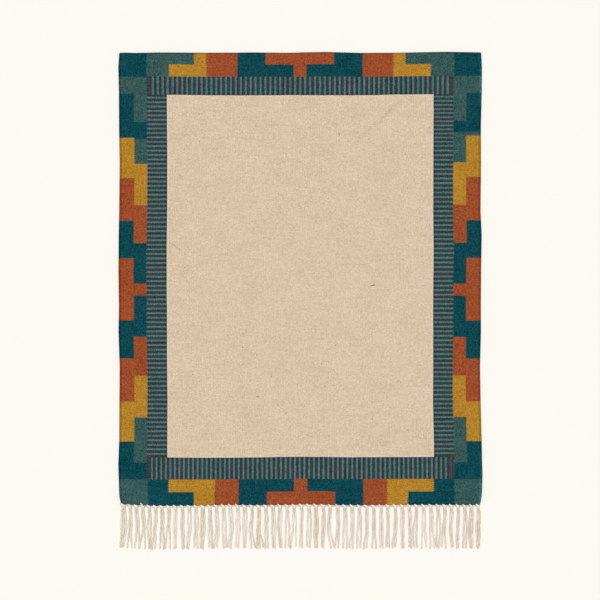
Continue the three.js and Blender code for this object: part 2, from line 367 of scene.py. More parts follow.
# The yarn's unevenness and relief: scales to a metre, and strengths
YARN_BLUSH_SCALE = 70.0
YARN_BLUSH = 0.7
YARN_CLOUD_SCALE = 90.0
YARN_CLOUD = 0.1
YARN_TWISTS_PER_METRE = 420.0
YARN_TWISTS_AROUND = 3.0
YARN_FIBRE_SCALE = 1500.0
YARN_FIBRE_HEIGHT = 0.3
YARN_BUMP = 0.2
YARN_ROUGHNESS = 0.9

# The maps for baking: how far in a tube lies in its cell and the cloth in its map, and the rows
BAKE_CELL_INSET = 0.1
BAKE_MARGIN = 0.004
KNOT_BAKE_ROWS = 12
STRAND_BAKE_ROWS = 3
FIBRE_BAKE_ROWS = 4

# The view: straight down, with the photograph's frame this wide and centred here
FRAME_WIDTH = 1989
FRAME_CENTRE = (-0.3, -70.3)
LENS = 85
SENSOR = 36

# The light, as what it gives a level white surface, and the floor as seen
SKY_LIGHT = 0.35
SUN_LIGHT = 0.7
SUN_TILT = (math.radians(2), math.radians(9))
SUN_SOFTNESS = math.radians(24)
FLOOR_COLOUR = (252, 250, 242)
FLOOR_SIZE = 16
FLOOR_DROP = 0.4
FLOOR_MOTTLE = 0.995
FLOOR_MOTTLE_SCALE = 2.0
FLOOR_BUMP = 0.02
FLOOR_ROUGHNESS = 0.9


def linear(colour, gain=1.0):
    """A colour seen in the photograph, 0 to 255, as the shader's linear colour under this light."""
    shares = np.array(colour, float) / 255
    curved = ((shares + 0.055) / 1.055) ** 2.4
    straight = shares / 12.92
    surface = np.where(shares <= 0.04045, straight, curved) * gain / (SKY_LIGHT + SUN_LIGHT)
    return (*np.clip(surface, 0, 0.95), 1.0)


class Shading:
    """Builds one material's nodes. An input is a number, a tuple or another node's output."""

    def __init__(self, name):
        self.material = bpy.data.materials.new(name)
        self.material.use_nodes = True
        self.tree = self.material.node_tree
        self.tree.nodes.clear()

    def add(self, kind, inputs, output=0, **settings):
        node = self.tree.nodes.new("ShaderNode" + kind)
        for name, value in settings.items():
            setattr(node, name, value)
        for socket, value in inputs.items():
            if isinstance(value, bpy.types.NodeSocket):
                self.tree.links.new(value, node.inputs[socket])
            else:
                node.inputs[socket].default_value = value
        return node.outputs[output] if node.outputs else node

    def math(self, operation, *values):
        return self.add("Math", dict(enumerate(values)), operation=operation)

    def plus(self, a, b):
        return self.math("ADD", a, b)

    def minus(self, a, b):
        return self.math("SUBTRACT", a, b)

    def times(self, a, b):
        return self.math("MULTIPLY", a, b)

    def scaled(self, value, factor, offset):
        """The value times the factor, and the offset added."""
        return self.math("MULTIPLY_ADD", value, factor, offset)

    def absolute(self, value):
        return self.math("ABSOLUTE", value)

    def above(self, value, limit):
        """1 where the value is over the limit, and 0 elsewhere."""
        return self.math("GREATER_THAN", value, limit)

    def below(self, value, limit):
        """1 where the value is under the limit, and 0 elsewhere."""
        return self.math("LESS_THAN", value, limit)

    def soft_step(self, value, start, end):
        """Goes softly from 0 to 1 as the value goes from start to end."""
        inputs = {0: value, 1: start, 2: end}
        return self.add("MapRange", inputs, interpolation_type="SMOOTHSTEP")

    def split(self, place):
        """The x, y and z of a place."""
        return self.add("SeparateXYZ", {0: place}).node.outputs

    def vector(self, x, y, z=0.0):
        return self.add("CombineXYZ", {0: x, 1: y, 2: z})

    def mix(self, share, a, b):
        """A number that goes from a to b with share."""
        return self.add("Mix", {0: share, 2: a, 3: b}, data_type="FLOAT")

    def mix_colour(self, share, a, b, blend="MIX"):
        inputs = {0: share, 6: a, 7: b}
        return self.add("Mix", inputs, output=2, data_type="RGBA", blend_type=blend)

    def tinted(self, colour, tint):
        """The colour times the tint."""
        return self.mix_colour(1.0, colour, tint, blend="MULTIPLY")

    def tint(self, share, tint):
        """From white to the tint, as share goes from 0 to 1."""
        return self.mix_colour(share, WHITE, (*tint, 1))

    def noise(self, place, scale, detail=2.0):
        """Smooth noise that lies about evenly around 0, from -1 to 1."""
        made = self.add("TexNoise", {"Vector": place, "Scale": scale, "Detail": detail})
        return self.scaled(made, 2.0, -1.0)

    def ramp(self, share, stops, interpolation="CONSTANT"):
        """A colour from a few stops, as share goes from 0 to 1. It changes at once unless told."""
        node = self.tree.nodes.new("ShaderNodeValToRGB")
        ramp = node.color_ramp
        ramp.interpolation = interpolation
        while len(ramp.elements) < len(stops):
            ramp.elements.new(1.0)
        for element, (place, colour) in zip(ramp.elements, stops):
            element.position = place
            element.color = colour
        self.tree.links.new(share, node.inputs[0])
        return node.outputs[0]

    def surface(self, colour, roughness, bump, height):
        """The finished surface, whose relief is height times bump, in metres."""
        normal = self.add("Bump", {"Strength": 1.0, "Distance": bump, "Height": height})
        shader = self.add(
            "BsdfPrincipled",
            {
                "Base Color": colour,
                "Roughness": roughness,
                "Specular IOR Level": 0.04,
                "Normal": normal,
            },
        )
        self.add("OutputMaterial", {"Surface": shader})
        return self.material


def charted(shading, place, runs):
    """The number of the yarn at a place along one row of the border."""
    words = runs.split()
    yarns = [YARN_NUMBERS[letter] for letter in words[0::2]]
    ends = [float(word) * MM for word in words[1::2]]
    number = float(yarns[0])
    for end, before, after in zip(ends, yarns, yarns[1:]):
        beyond = shading.above(place, end)
        number = shading.scaled(beyond, float(after - before), number)
    return number


def striped(shading, count):
    """The number of the pale or the dark yarn, where whole counts are the pale stripes' middles."""
    turns = shading.plus(count, PALE_SHARE / 2)
    dark = shading.above(shading.math("FRACT", turns), PALE_SHARE)
    return shading.plus(dark, float(YARN_NUMBERS["pale"]))


def border_yarn(shading, across, along):
    """The yarn's number over the whole border, from the eight charted rows."""
    sides = (
        ("top", across, shading.above(along, TOP_STEP * MM)),
        ("bottom", across, shading.below(along, BOTTOM_STEP * MM)),
        ("left", along, shading.below(across, -SIDE_STEP * MM)),
        ("right", along, shading.above(across, SIDE_STEP * MM)),
    )
    yarns = []
    for side, place, in_outer_row in sides:
        inner = charted(shading, place, BORDER_CHART[f"{side} inner"])
        outer = charted(shading, place, BORDER_CHART[f"{side} outer"])
        yarns.append(shading.mix(in_outer_row, inner, outer))
    top, bottom, left, right = yarns
    both_sides = shading.mix(shading.above(across, 0.0), left, right)
    at_top = shading.above(along, BORDER_TOP * MM)
    at_bottom = shading.below(along, BORDER_BOTTOM * MM)
    return shading.mix(at_bottom, shading.mix(at_top, both_sides, top), bottom)


def band_yarn(shading, across, along, count_across, count_along):
    """The yarn's number and the stripe's count over the striped band."""
    plum = float(YARN_NUMBERS["plum"])
    at_bottom = shading.below(along, 0.0)
    stripes_to = shading.mix(at_bottom, TOP_STRIPES_TO * MM, BOTTOM_STRIPES_TO * MM)
    first = shading.below(across, END_STRIPES_FROM * MM)
    last = shading.above(across, stripes_to)
    outermost = shading.plus(first, last)
    ends = shading.mix(outermost, striped(shading, count_across), plum)
    off_line = shading.absolute(shading.minus(across, SMOKE_LINE_PLACE * MM))
    on_line = shading.below(off_line, SMOKE_LINE_HALF_WIDTH * MM)
    smoky = shading.times(on_line, at_bottom)
    ends = shading.mix(smoky, ends, float(YARN_NUMBERS["smoke"]))
    lowest = shading.mix(outermost, float(YARN_NUMBERS["dark"]), plum)
    past_stripes = shading.below(along, SIDE_STRIPES_TO * MM)
    sides = shading.mix(past_stripes, striped(shading, count_along), lowest)
    above = shading.above(along, FIELD_TOP * MM)
    below = shading.below(along, FIELD_BOTTOM * MM)
    at_end = shading.math("MAXIMUM", above, below)
    return shading.mix(at_end, sides, ends), shading.mix(at_end, count_along, count_across)


def field_edge_tint(shading, across, along):
    """How much paler or darker the cloth is near the field's edge."""
    aside = shading.minus(shading.absolute(across), FIELD_HALF_WIDTH * MM)
    over = shading.minus(along, FIELD_TOP * MM)
    under = shading.minus(FIELD_BOTTOM * MM, along)
    beyond = shading.math("MAXIMUM", aside, shading.math("MAXIMUM", over, under))
    nearest, farthest = FIELD_EDGE_TINTS[0][0], FIELD_EDGE_TINTS[-1][0]
    share = shading.add("MapRange", {0: beyond, 1: nearest * MM, 2: farthest * MM})
    stops = [
        ((distance - nearest) / (farthest - nearest), (*tint, 1))
        for distance, tint in FIELD_EDGE_TINTS
    ]
    return shading.ramp(share, stops, "LINEAR")


def inside_box(shading, across, along, half_width, bottom, top):
    """1 inside a box that is centred across the cloth, and 0 outside it."""
    outwards = shading.absolute(across)
    narrow = shading.below(outwards, half_width * MM)
    under = shading.below(along, top * MM)
    over = shading.above(along, bottom * MM)
    return shading.times(narrow, shading.times(under, over))


def stain_share(shading, across, along):
    """How strong the slanting stain is at a place. Mixing takes anything over 1 as 1."""
    run = np.array(STAIN_END, float) - np.array(STAIN_START, float)
    length = float(np.linalg.norm(run))
    way = run / length
    place = shading.vector(across, along)
    offset = shading.add(
        "VectorMath",
        {0: place, 1: (STAIN_START[0] * MM, STAIN_START[1] * MM, 0)},
        operation="SUBTRACT",
    )

    def along_way(direction):
        inputs = {0: offset, 1: direction}
        return shading.add("VectorMath", inputs, output="Value", operation="DOT_PRODUCT")

    ahead = along_way((*way, 0))
    aside = along_way((-way[1], way[0], 0))
    bent = shading.scaled(shading.noise(place, STAIN_BEND_SCALE), STAIN_BEND * MM, aside)
    near = shading.soft_step(shading.absolute(bent), STAIN_HALF_WIDTH * MM, 0.0)
    middle = shading.absolute(shading.minus(ahead, length / 2 * MM))
    fade_start, fade_end = (length / 2 + fade for fade in STAIN_FADE)
    along_it = shading.soft_step(middle, fade_start * MM, fade_end * MM)
    patches = shading.soft_step(shading.noise(place, STAIN_PATCH_SCALE), *STAIN_PATCH_RANGE)
    strength = shading.add(
        "MapRange", {0: ahead, 1: 0.0, 2: length * MM, 3: STAIN_STRENGTHS[0], 4: STAIN_STRENGTHS[1]}
    )
    whole = shading.times(shading.times(near, along_it), patches)
    return shading.times(whole, strength)


def fleck_share(shading, place):
    """1 in the few dark flecks of the spun wool, and 0 elsewhere."""
    cells = shading.tree.nodes.new("ShaderNodeTexVoronoi")
    cells.voronoi_dimensions = "2D"
    cells.inputs["Scale"].default_value = FLECK_CELLS_PER_METRE
    shading.tree.links.new(place, cells.inputs["Vector"])
    tone = shading.add("SeparateColor", {0: cells.outputs["Color"]})
    chosen = shading.above(tone, FLECK_LIMIT)
    near = shading.below(cells.outputs["Distance"], FLECK_RADIUS_IN_CELLS)
    return shading.times(chosen, near)


def woven_wool():
    """The wool weave: charted colours, weft beads over the warp ribs, and spun-yarn unevenness."""
    shading = Shading("woven_wool")
    flat = shading.add("UVMap", {}, uv_map="cloth")
    across, along, _ = shading.split(flat)

    # Colour joins: dovetailed where they run along the warp, and never quite straight
    waver = shading.times(shading.noise(flat, WAVER_SCALE, 3.0), JOIN_WAVER * MM)
    tooth = shading.math("SINE", shading.times(along, math.tau / (TOOTH_PITCH * MM)))
    teeth = shading.times(shading.math("SIGN", tooth), TOOTH_DEPTH / 2 * MM)
    toothed = shading.plus(shading.plus(across, teeth), waver)
    rib_turn = shading.times(across, math.pi / (RIB_PITCH * MM))
    rib_crest = shading.absolute(shading.math("SINE", rib_turn))
    bowed = shading.scaled(rib_crest, STRIPE_SCALLOP * MM, along)
    wavered = shading.plus(bowed, waver)
    stretched = shading.vector(shading.times(across, STRIPE_JITTER_STRETCH), along)
    jitter = shading.times(shading.noise(stretched, STRIPE_JITTER_SCALE), STRIPE_JITTER)
    counts = shading.split(shading.add("UVMap", {}, uv_map="stripes"))
    count_across = shading.plus(counts[0], jitter)
    scallop = shading.scaled(rib_crest, -STRIPE_SCALLOP / SIDE_STRIPE_PITCH, jitter)
    count_along = shading.plus(counts[1], scallop)

    border = border_yarn(shading, toothed, wavered)
    band, stripe = band_yarn(shading, toothed, wavered, count_across, count_along)
    in_band = inside_box(shading, toothed, wavered, BAND_HALF_WIDTH, BORDER_BOTTOM, BORDER_TOP)
    straight = shading.scaled(waver, FIELD_WAVER_SHARE, across)
    in_field = inside_box(shading, straight, wavered, FIELD_HALF_WIDTH, FIELD_BOTTOM, FIELD_TOP)
    number = shading.mix(in_band, border, band)
    number = shading.mix(in_field, number, float(YARN_NUMBERS["natural"]))
    share = shading.math("DIVIDE", shading.plus(number, 0.5), float(len(YARNS)))
    stops = [(YARN_NUMBERS[name] / len(YARNS), values) for name, values in YARNS.items()]
    colour = shading.ramp(share, [(place, linear(values[0])) for place, values in stops])
    grain = shading.ramp(share, [(place, (*values[1], 1)) for place, values in stops])

    # Each stripe of the band leans to teal or to plum
    half_stripe = shading.math("FLOOR", shading.scaled(stripe, 2.0, PALE_SHARE))
    lean = shading.add("TexWhiteNoise", {"W": half_stripe}, noise_dimensions="1D")
    lean = shading.mix_colour(lean, (*STRIPE_TINTS[0], 1), (*STRIPE_TINTS[1], 1))
    striped_part = shading.minus(in_band, in_field)
    leaning = shading.times(striped_part, shading.below(number, YARN_NUMBERS["plum"] - 0.5))
    lean = shading.mix_colour(leaning, WHITE, lean)
    colour = shading.tinted(colour, lean)
    edge = field_edge_tint(shading, straight, wavered)
    colour = shading.tinted(colour, edge)

    # The beads of the weave: one rib wide and one weft high, set like bricks
    rib = shading.math("FLOOR", shading.math("DIVIDE", across, RIB_PITCH * MM))
    odd = shading.math("FLOORED_MODULO", rib, 2.0)
    weft_turns = shading.math("DIVIDE", wavered, WEFT_PITCH * MM)
    shifted = shading.scaled(odd, 0.5, weft_turns)
    bead = shading.math("FLOOR", shifted)
    own = shading.add("TexWhiteNoise", {"Vector": shading.vector(rib, bead)}, noise_dimensions="2D")
    own = shading.scaled(own, 2.0, -1.0)
    weft = shading.math("FLOOR", weft_turns)
    short_place = shading.vector(shading.times(across, SHORT_STREAK_SCALE), weft)
    short_streak = shading.noise(short_place, 1.0, 1.0)
    long_place = shading.vector(shading.times(across, LONG_STREAK_SCALE), weft, 7.0)
    long_streak = shading.noise(long_place, 1.0, 1.0)
    lump = shading.noise(flat, LUMP_SCALE, 2.0)
    rib_place = shading.vector(rib, shading.times(along, RIB_TONE_SCALE), 5.0)
    rib_tone = shading.noise(rib_place, 1.0, 1.0)
    cloud = shading.noise(flat, CLOUD_SCALE, 3.0)
    tone = shading.times(short_streak, SHORT_STREAK_TONE)
    others = (own, long_streak, lump, rib_tone, cloud)
    strengths = (BEAD_TONE, LONG_STREAK_TONE, LUMP_TONE, RIB_TONE, CLOUD_TONE)
    for other, strength in zip(others, strengths):
        tone = shading.scaled(other, strength, tone)
    gain = shading.add("VectorMath", {0: tone, 1: grain, 2: (1, 1, 1)}, operation="MULTIPLY_ADD")
    colour = shading.tinted(colour, gain)

    # Warmer and cooler patches, the stain and the flecks
    warmth = shading.scaled(shading.noise(flat, WARMTH_SCALE, 3.0), WARMTH_STRENGTH, 0.5)
    warm_tint = shading.mix_colour(warmth, *WARMTH_TINTS)
    colour = shading.tinted(colour, warm_tint)
    stain = shading.tint(stain_share(shading, across, along), STAIN_TINT)
    colour = shading.tinted(colour, stain)
    fleck = shading.tint(fleck_share(shading, flat), FLECK_TINT)
    colour = shading.tinted(colour, fleck)
    # Painted shade in the valleys between the ribs
    valley = shading.math("POWER", shading.minus(1.0, rib_crest), VALLEY_SHARPNESS)
    depth = shading.mix(striped_part, -VALLEY_SHADE, -STRIPE_VALLEY_SHADE)
    shadow = shading.scaled(valley, depth, 1.0)
    colour = shading.tinted(colour, shadow)

    # The selvedges and the two ends get painted shade at their rims, and the selvedges a painted
    # highlight in a line just inside
    outwards = shading.absolute(across)
    side_inset = shading.minus(CLOTH_WIDTH / 2 * MM, outwards)
    side_share = shading.math("DIVIDE", side_inset, SELVEDGE_SHADE_AND_HIGHLIGHT[-1][0] * MM)
    painted_rim_light = shading.ramp(side_share, tone_stops(SELVEDGE_SHADE_AND_HIGHLIGHT), "LINEAR")
    painted_corner_light = shading.ramp(side_share, tone_stops(CORNER_SHADE_AND_HIGHLIGHT), "LINEAR")
    reach_start, reach_end = CORNER_REACH
    near_corner = shading.soft_step(shading.absolute(along), reach_start * MM, reach_end * MM)
    lit = shading.times(near_corner, shading.above(across, 0.0))
    painted_rim_light = shading.mix_colour(lit, painted_rim_light, painted_corner_light)
    colour = shading.tinted(colour, painted_rim_light)
    end_inset = shading.minus(CLOTH_LENGTH / 2 * MM, shading.absolute(along))
    end_share = shading.math("DIVIDE", end_inset, END_SHADE_TONES[-1][0] * MM)
    painted_rim_light = shading.ramp(end_share, tone_stops(END_SHADE_TONES), "LINEAR")
    colour = shading.tinted(colour, painted_rim_light)

    # Relief: rounded beads with spun fibres along each weft
    bead_turn = shading.times(shading.math("FRACT", shifted), math.pi)
    bead_height = shading.math("POWER", shading.math("SINE", bead_turn), BEAD_FLATNESS)
    fine_across = shading.times(across, WOOL_FIBRE_SCALES[0])
    fine_along = shading.times(along, WOOL_FIBRE_SCALES[1])
    fibre = shading.noise(shading.vector(fine_across, fine_along), 1.0, 2.0)
    height = shading.scaled(fibre, WOOL_FIBRE_HEIGHT, bead_height)
    return shading.surface(colour, WOOL_ROUGHNESS, WOOL_BUMP * MM, height)


def tone_stops(tones):
    """A list of insets and tones as the stops of a ramp."""
    return [(inset / tones[-1][0], (tone, tone, tone, 1)) for inset, tone in tones]


def fringe_yarn():
    """Soft undyed cream yarn, with painted shade: brown-grey in its crevices and a warm yellowish tint
    where it bunches.
    """
    shading = Shading("fringe_yarn")
    look = shading.tree.nodes.new("ShaderNodeAttribute")
    look.attribute_name = "yarn_look"
    parts = shading.add("SeparateColor", {0: look.outputs["Color"]}).node
    painted_shade, warm_shade, tone = parts.outputs
    blush = look.outputs["Alpha"]
    flat = shading.add("UVMap", {}, uv_map="yarn")
    around, along, _ = shading.split(flat)
    solid = shading.add("TexCoord", {}, output="Object")
    patchy_blush = shading.scaled(shading.noise(solid, YARN_BLUSH_SCALE), YARN_BLUSH, blush)
    cream = shading.mix_colour(patchy_blush, linear(YARN_GREY), linear(YARN_PINK))
    # Warm painted shade where yarn bunches, then painted shade in the crevices
    colour = shading.mix_colour(warm_shade, cream, linear(YARN_WARM_SHADE))
    colour = shading.mix_colour(painted_shade, colour, linear(YARN_PAINTED_SHADE))
    cloud = shading.noise(solid, YARN_CLOUD_SCALE, 3.0)
    gain = shading.scaled(cloud, YARN_CLOUD, tone)
    colour = shading.tinted(colour, gain)
    turns_around = shading.times(around, YARN_TWISTS_AROUND)
    slanted = shading.scaled(along, YARN_TWISTS_PER_METRE, turns_around)
    twist = shading.absolute(shading.math("SINE", shading.times(slanted, math.pi)))
    fibre = shading.noise(solid, YARN_FIBRE_SCALE, 2.0)
    height = shading.scaled(fibre, YARN_FIBRE_HEIGHT, twist)
    return shading.surface(colour, YARN_ROUGHNESS, YARN_BUMP * MM, height)


def hair_wool():
    """A dark spun hair."""
    shading = Shading("dark_hair")
    solid = shading.add("TexCoord", {}, output="Object")
    share = shading.scaled(shading.noise(solid, HAIR_TONE_SCALE), 0.5, 0.5)
    colour = shading.mix_colour(share, *map(linear, HAIR_COLOURS))
    fibre = shading.noise(solid, HAIR_FIBRE_SCALE)
    return shading.surface(colour, HAIR_ROUGHNESS, HAIR_BUMP * MM, fibre)


def floor_paint():
    """A plain pale floor with a hardly visible mottle."""
    shading = Shading("pale_floor")
    solid = shading.add("TexCoord", {}, output="Object")
    share = shading.scaled(shading.noise(solid, FLOOR_MOTTLE_SCALE), 0.5, 0.5)
    seen = linear(FLOOR_COLOUR)
    paler = tuple(FLOOR_MOTTLE * value for value in seen[:3]) + (1,)
    colour = shading.mix_colour(share, seen, paler)
    return shading.surface(colour, FLOOR_ROUGHNESS, FLOOR_BUMP * MM, share)


def mesh_piece(name, points, faces, material):
    """A smoothly shaded object from points in millimetres and faces of point numbers."""
    mesh = bpy.data.meshes.new(name)
    mesh.from_pydata((np.asarray(points, float) * MM).tolist(), [], faces)
    mesh.materials.append(material)
    mesh.polygons.foreach_set("use_smooth", [True] * len(mesh.polygons))
    mesh.update()
    piece = bpy.data.objects.new(name, mesh)
    bpy.context.scene.collection.objects.link(piece)
    return piece


def add_map(piece, name, places):
    """A UV map with one place for each corner of each face."""
    layer = piece.data.uv_layers.new(name=name)
    layer.uv.foreach_set("vector", np.asarray(places, np.float32).ravel())


def cell_corners(grid):
    """The four corners round each cell of a grid, in rows of four. Of point numbers, the faces."""
    corners = [grid[:-1, :-1], grid[:-1, 1:], grid[1:, 1:], grid[1:, :-1]]
    return np.stack(corners, axis=2).reshape(-1, 4)


def pairs(across, along, shape):
    """Two grids of places, each spread over one shape, as a list of pairs."""
    grids = [np.broadcast_to(grid, shape) for grid in (across, along)]
    return np.stack(grids, axis=-1).reshape(-1, 2)


class Outline:
    """The CAD cloth's four edges, read from its mesh, in millimetres."""

    def __init__(self, node):
        points = np.array([vertex.co for vertex in node.data.vertices]) / MM
        points = np.unique(points.round(3), axis=0)
        edge = points[np.isclose(points[:, 2], SELVEDGE_EDGE_HEIGHT)]
        edge = edge[np.argsort(edge[:, 1])]
        self.left_line = edge[edge[:, 0] < 0]
        self.right_line = edge[edge[:, 0] > 0]
        crests = points[np.isclose(points[:, 2], CLOTH_THICKNESS)]
        near = crests[crests[:, 1] < 0]
        far = crests[crests[:, 1] > 0]
        corners = (self.left_line, self.right_line)
        self.front_line = self.end_line(near, [line[0] for line in corners], np.minimum)
        self.back_line = self.end_line(far, [line[-1] for line in corners], np.maximum)

    @staticmethod
    def end_line(crests, corners, outermost):
        places = np.unique(crests[:, 0])
        ends = [outermost.reduce(crests[crests[:, 0] == x, 1]) for x in places]
        line = np.array([*zip(places, ends), *[(corner[0], corner[1]) for corner in corners]])
        return line[np.argsort(line[:, 0])]

    def left(self, y):
        return np.interp(y, self.left_line[:, 1], self.left_line[:, 0])

    def right(self, y):
        return np.interp(y, self.right_line[:, 1], self.right_line[:, 0])

    def front(self, x):
        return np.interp(x, self.front_line[:, 0], self.front_line[:, 1])

    def back(self, x):
        return np.interp(x, self.back_line[:, 0], self.back_line[:, 1])


def laid_out(outline, across, along):
    """Where a place of the straight, charted cloth lies in the cloth as woven, a little uneven."""
    half = CLOTH_WIDTH / 2
    end = CLOTH_LENGTH / 2
    side_places = np.array([-half, -FIELD_HALF_WIDTH, FIELD_HALF_WIDTH, half])
    end_places = np.array([-end, FIELD_BOTTOM, FIELD_TOP, end])
    side_strays = (
        outline.left(along) + half - EDGE_FUZZ,
        np.interp(along, FIELD_SIDE_PLACES, FIELD_LEFT_STRAY),
        np.interp(along, FIELD_SIDE_PLACES, FIELD_RIGHT_STRAY),
        outline.right(along) - half + EDGE_FUZZ,
    )
    end_strays = (
        outline.front(across) + end - FRONT_FUZZ,
        np.interp(across, FIELD_END_PLACES, FIELD_BOTTOM_STRAY),
        np.interp(across, FIELD_END_PLACES, FIELD_TOP_STRAY),
        outline.back(across) - end + EDGE_FUZZ,
    )
    return (
        across + blend_strays(across, side_places, side_strays),
        along + blend_strays(along, end_places, end_strays),
    )


def blend_strays(place, stations, strays):
    """Goes straight from the stray at one station to the stray at the next."""
    index = np.clip(np.searchsorted(stations, place) - 1, 0, len(stations) - 2)
    share = (place - stations[index]) / (stations[index + 1] - stations[index])
    share = np.clip(share, 0, 1)
    strays = np.array(strays)
    before = np.take_along_axis(strays, index[None], 0)[0]
    after = np.take_along_axis(strays, index[None] + 1, 0)[0]
    return before + (after - before) * share


def unrolled(insets, heights):
    """How far each point of an edge's section lies outside the edge, laid out flat."""
    steps = np.hypot(np.diff(insets), np.diff(heights))
    from_last = np.concatenate([np.cumsum(steps[::-1])[::-1], [0]])
    return from_last - insets[-1]


def smooth_random(generator, shape, passes):
    """Random numbers about 0 that change softly along the second axis."""
    values = generator.uniform(-1, 1, shape)
    for _ in range(passes):
        padded = np.pad(values, ((0, 0), (1, 1)), mode="edge")
        values = (padded[:, :-2] + 2 * padded[:, 1:-1] + padded[:, 2:]) / 4
    return values / np.abs(values).max()


def foot_insets(insets):
    """The insets of an edge's section at its foot, where no two of them fall together."""
    return np.maximum(insets[0] + FOOT_SPREAD * np.arange(len(insets)), insets)


def between_edges(half, insets, inner):
    """Places from one edge to the other: a section's insets, the inner ones, the insets again."""
    return np.concatenate([-half + insets, inner, half - insets[::-1]])


def smoothed(line, passes):
    """The line after each inner point has been drawn towards its two neighbours a few times."""
    for _ in range(passes):
        line[1:-1] = (line[:-2] + 2 * line[1:-1] + line[2:]) / 4
    return line


def cloth_columns(generator, row_count):
    """Each column's place, its places at the foot and on the flat map, its height and its wander."""
    insets, heights = np.array(SELVEDGE_SECTION, float).T
    half = CLOTH_WIDTH / 2
    ribs_half = RIB_COUNT * RIB_PITCH / 2
    steps = np.arange(RIB_COUNT * RIB_STEPS + 1)
    rib_places = -ribs_half + steps * RIB_PITCH / RIB_STEPS
    phase = (steps % RIB_STEPS) / RIB_STEPS
    rise = np.sin(math.pi * phase) ** RIB_SHAPE
    valley = CLOTH_THICKNESS - RIB_RELIEF
    wander = smooth_random(generator, (RIB_COUNT, row_count), 3)
    lift = smooth_random(generator, (RIB_COUNT, row_count), 2)
    rib_of_step = np.minimum(steps // RIB_STEPS, RIB_COUNT - 1)
    side = len(insets)
    rib_lift = RIB_RELIEF + RIB_HEIGHT_JITTER * lift[rib_of_step]
    rib_heights = valley + rib_lift * rise[:, None]
    rib_wander = RIB_WANDER * wander[rib_of_step] * rise[:, None]
    still = np.zeros((side, row_count))
    side_heights = np.repeat(heights[:, None], row_count, axis=1)
    outward = unrolled(insets, heights)
    return {
        "place": between_edges(half, insets, rib_places),
        "flat": between_edges(half, foot_insets(insets), rib_places),
        "map": between_edges(half, -outward, rib_places),
        "height": np.concatenate([side_heights, rib_heights, side_heights[::-1]]),
        "wander": np.concatenate([still, rib_wander, still]),
    }


def cloth_rows():
    """Each row's place, its places at the foot and on the flat map, and its share of the height."""
    insets, shares = np.array(END_SECTION, float).T
    end = CLOTH_LENGTH / 2
    inner_end = end - insets[-1]
    count = round(2 * inner_end / ROW_PITCH)
    inner = np.linspace(-inner_end, inner_end, count + 1)[1:-1]
    outward = unrolled(insets, shares * CLOTH_THICKNESS)
    return {
        "place": between_edges(end, insets, inner),
        "flat": between_edges(end, foot_insets(insets), inner),
        "map": between_edges(end, -outward, inner),
        "share": np.concatenate([shares, np.ones(len(inner)), shares[::-1]]),
    }


def zipped(first, second, places):
    """Triangles between two lines of point numbers that run the same way, the first on the left."""
    faces = []
    i, j = 0, 0
    while i < len(first) - 1 or j < len(second) - 1:
        first_next = places[first[i + 1]] if i < len(first) - 1 else math.inf
        second_next = places[second[j + 1]] if j < len(second) - 1 else math.inf
        if first_next <= second_next:
            faces.append((first[i], second[j], first[i + 1]))
            i += 1
        else:
            faces.append((first[i], second[j], second[j + 1]))
            j += 1
    return faces


def woven_cloth(outline, material):
    """The cloth as one closed mesh: ribs and selvedges above, and a level underside."""
    generator = np.random.default_rng(SEED)
    rows = cloth_rows()
    columns = cloth_columns(generator, len(rows["place"]))
    column_count, row_count = len(columns["place"]), len(rows["place"])
    height = columns["height"] * rows["share"][None]
    column_share = np.sqrt(np.clip(columns["height"] / CLOTH_THICKNESS, 0, 1))
    row_share = np.sqrt(rows["share"])[None]
    flat_across, across_at_height = columns["flat"][:, None], columns["place"][:, None]
    across = flat_across + (across_at_height - flat_across) * row_share
    along = rows["flat"][None] + (rows["place"] - rows["flat"])[None] * column_share
    x, y = laid_out(outline, across + columns["wander"], along)
    top = np.stack([x, y, height], axis=-1).reshape(-1, 3)
    numbers = np.arange(column_count * row_count).reshape(column_count, row_count)
    quads = cell_corners(numbers)[:, [0, 3, 2, 1]]

    # The underside has few rows, between the cloth's two ends
    end_inset = END_SECTION[-1][0]
    under_along = np.linspace(-1, 1, UNDERSIDE_ROWS + 2)[1:-1] * (CLOTH_LENGTH / 2 - end_inset)
    inner_columns = columns["flat"][1:-1]
    under_across, under_along = np.meshgrid(inner_columns, under_along, indexing="ij")
    under_x, under_y = laid_out(outline, under_across, under_along)
    under = np.stack([under_x, under_y, np.zeros_like(under_x)], axis=-1).reshape(-1, 3)
    under_numbers = np.arange(len(under)).reshape(under_x.shape) + len(top)
    lines = np.concatenate([numbers[1:-1, :1], under_numbers, numbers[1:-1, -1:]], axis=1)
    under_quads = cell_corners(lines)
    points = np.concatenate([top, under])
    along_places = points[:, 1]
    left_strip = zipped(lines[0].tolist(), numbers[0].tolist(), along_places)
    right_strip = zipped(numbers[-1].tolist(), lines[-1].tolist(), along_places)
    strips = left_strip + right_strip
    faces = quads.tolist() + under_quads.tolist() + strips
    piece = mesh_piece("woven_cloth", points, faces, material)

    # The chart's own places, and the map for baking, on which the underside lies over the face
    top_chart = pairs(across_at_height, rows["place"][None], height.shape)
    under_chart = pairs(under_across, under_along, under_across.shape)
    foot_chart = pairs(flat_across, along, height.shape)
    face_map = pairs(columns["map"][:, None], rows["map"][None], height.shape)
    above = quads.ravel()
    below = np.concatenate([under_quads.ravel(), np.array(strips).ravel()])
    low_places = np.concatenate([foot_chart, under_chart])
    chart = np.concatenate([top_chart[above], low_places[below]])
    spread = np.concatenate([face_map[above], low_places[below]])
    lowest, highest = spread.min(0), spread.max(0)
    baked = BAKE_MARGIN + (spread - lowest) / (highest - lowest) * (1 - 2 * BAKE_MARGIN)
    add_map(piece, "cloth", chart * MM)
    add_map(piece, "stripes", stripe_counts(chart))
    add_map(piece, "OFBake", baked)
    return piece


